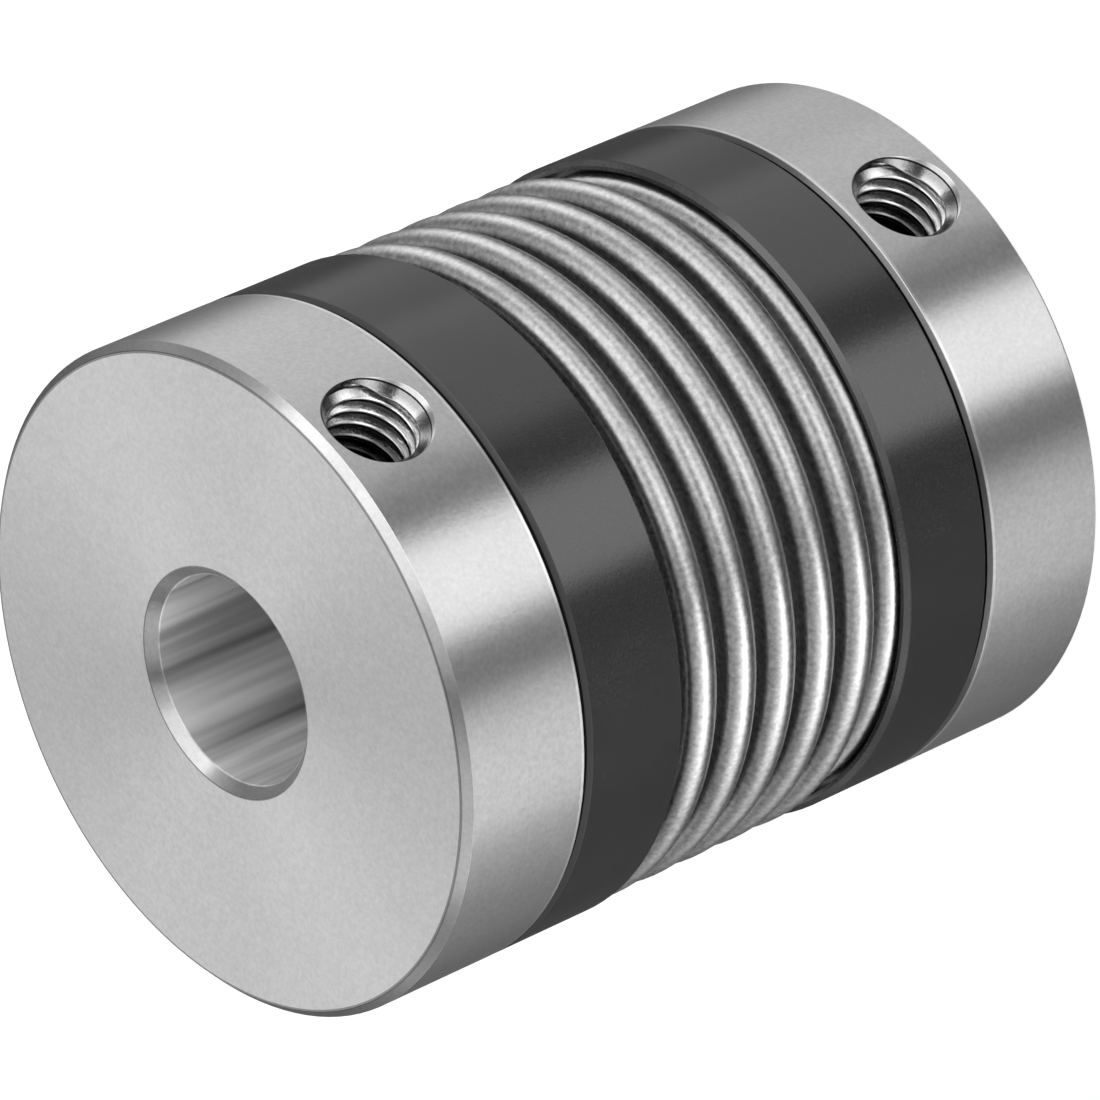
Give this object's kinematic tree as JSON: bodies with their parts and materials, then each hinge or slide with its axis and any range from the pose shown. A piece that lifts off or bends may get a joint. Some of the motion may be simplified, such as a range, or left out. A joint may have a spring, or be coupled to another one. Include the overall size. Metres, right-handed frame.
{
  "type": "shaft coupling",
  "caption": "Metal bellows shaft coupling: a bored aluminium hub at each end, black clamp rings over the ends of a corrugated steel bellows, and a set screw in each hub.",
  "frame": {"origin": "centre of the lower hub's end face, on the shaft axis, where the coupling stands", "axes": "+Z along the shaft axis, from the lower hub to the upper hub; the tapped holes of the set screws open towards -Y"},
  "size_m": [0.032, 0.032, 0.0395],
  "materials": {
    "hub_aluminium": "turned aluminium, finely blasted to an even satin",
    "ring_black": "black anodised, satin gloss with a few hair scratches",
    "bellows_steel": "formed stainless sheet, satin with a fine grain",
    "screw_steel": "black oxide"
  },
  "bodies": {
    "root": {"upper_hub": "hub_aluminium", "upper_clamp_ring": "ring_black", "bellows": "bellows_steel", "lower_clamp_ring": "ring_black", "lower_hub": "hub_aluminium", "upper_set_screw": "screw_steel", "lower_set_screw": "screw_steel"}
  },
  "joints": []
}
